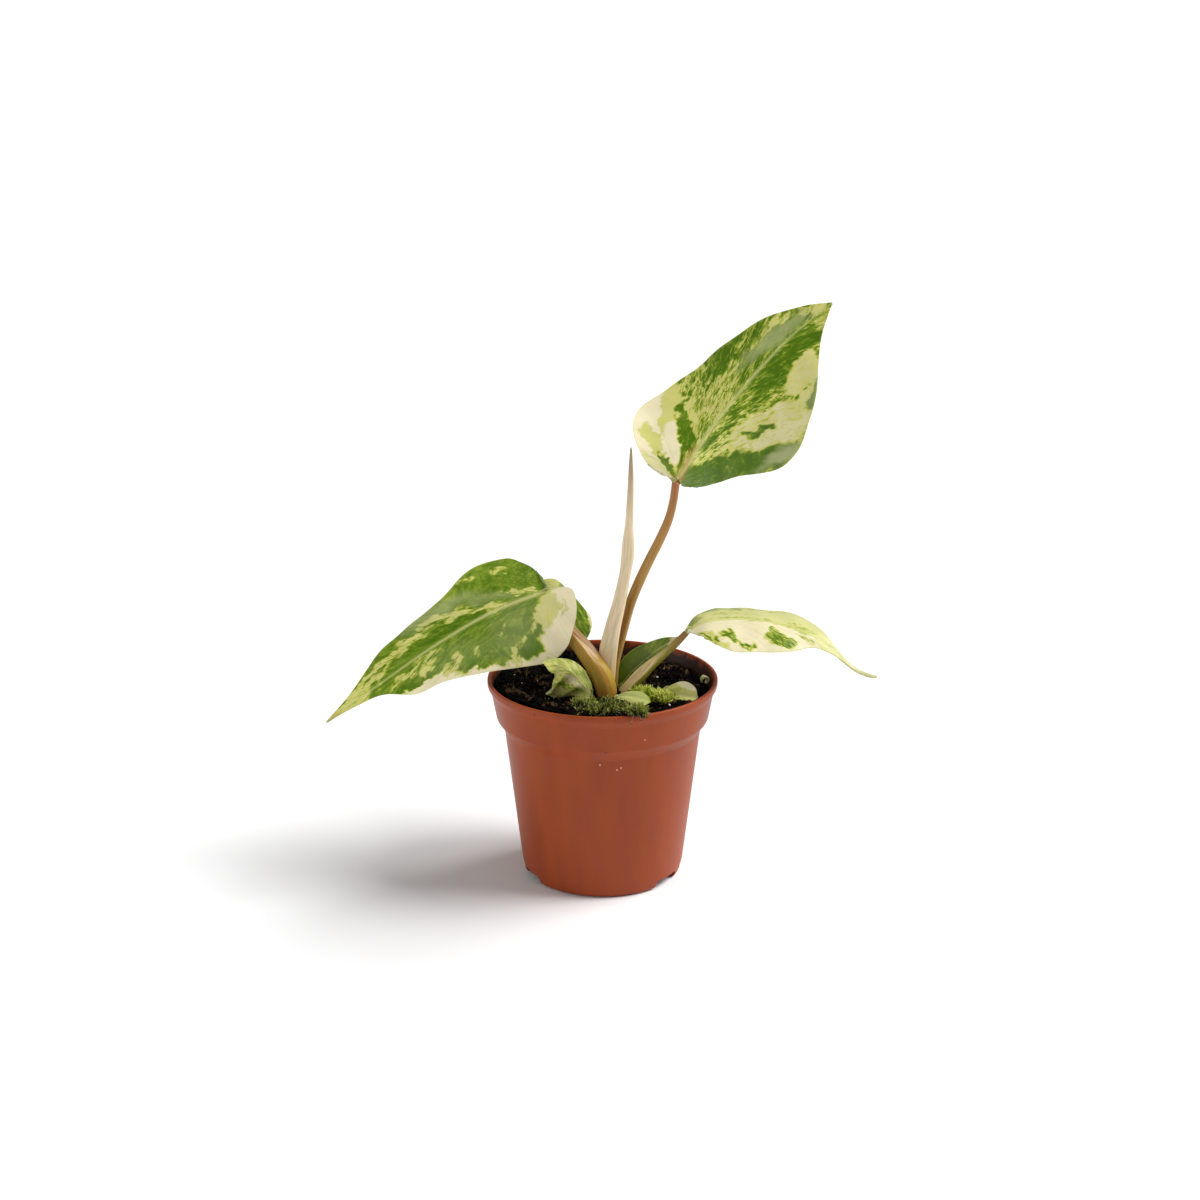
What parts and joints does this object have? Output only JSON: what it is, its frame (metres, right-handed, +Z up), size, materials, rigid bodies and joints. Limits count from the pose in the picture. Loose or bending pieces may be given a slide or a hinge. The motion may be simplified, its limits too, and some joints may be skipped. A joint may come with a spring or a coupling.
{
  "type": "potted variegated philodendron",
  "caption": "Young variegated philodendron in a tapered plastic nursery pot, with marbled pointed leaves on slim stems, a rolled new leaf, dark soil and moss.",
  "frame": {"origin": "centre of the pot's foot, on the surface that it stands on", "axes": "+Z up, -Y toward the viewer's side, +X to that viewer's right"},
  "size_m": [0.141, 0.06, 0.1476],
  "materials": {
    "pot": "satin",
    "soil": "matte",
    "rootstock": "matte",
    "stem": "satin",
    "new_leaf": "satin",
    "leaf": "satin",
    "pale_leaf": "satin",
    "dark_leaf": "satin",
    "bright_moss": "matte",
    "dark_moss": "matte"
  },
  "bodies": {
    "root": {"pot": "pot", "soil": "soil", "rootstock": "rootstock", "stem_tall": "stem", "stem_left": "stem", "stem_right": "stem", "stem_back": "stem", "new_leaf_rolled": "new_leaf", "leaf_tall": "leaf", "leaf_left": "leaf", "leaf_right": "pale_leaf", "leaf_back": "leaf", "leaf_low": "dark_leaf", "leaf_crumpled": "pale_leaf", "leaf_cupped": "pale_leaf", "leaf_little": "pale_leaf", "leaf_tip_curled": "pale_leaf", "moss_bright": "bright_moss", "moss_front": "dark_moss"}
  },
  "joints": []
}
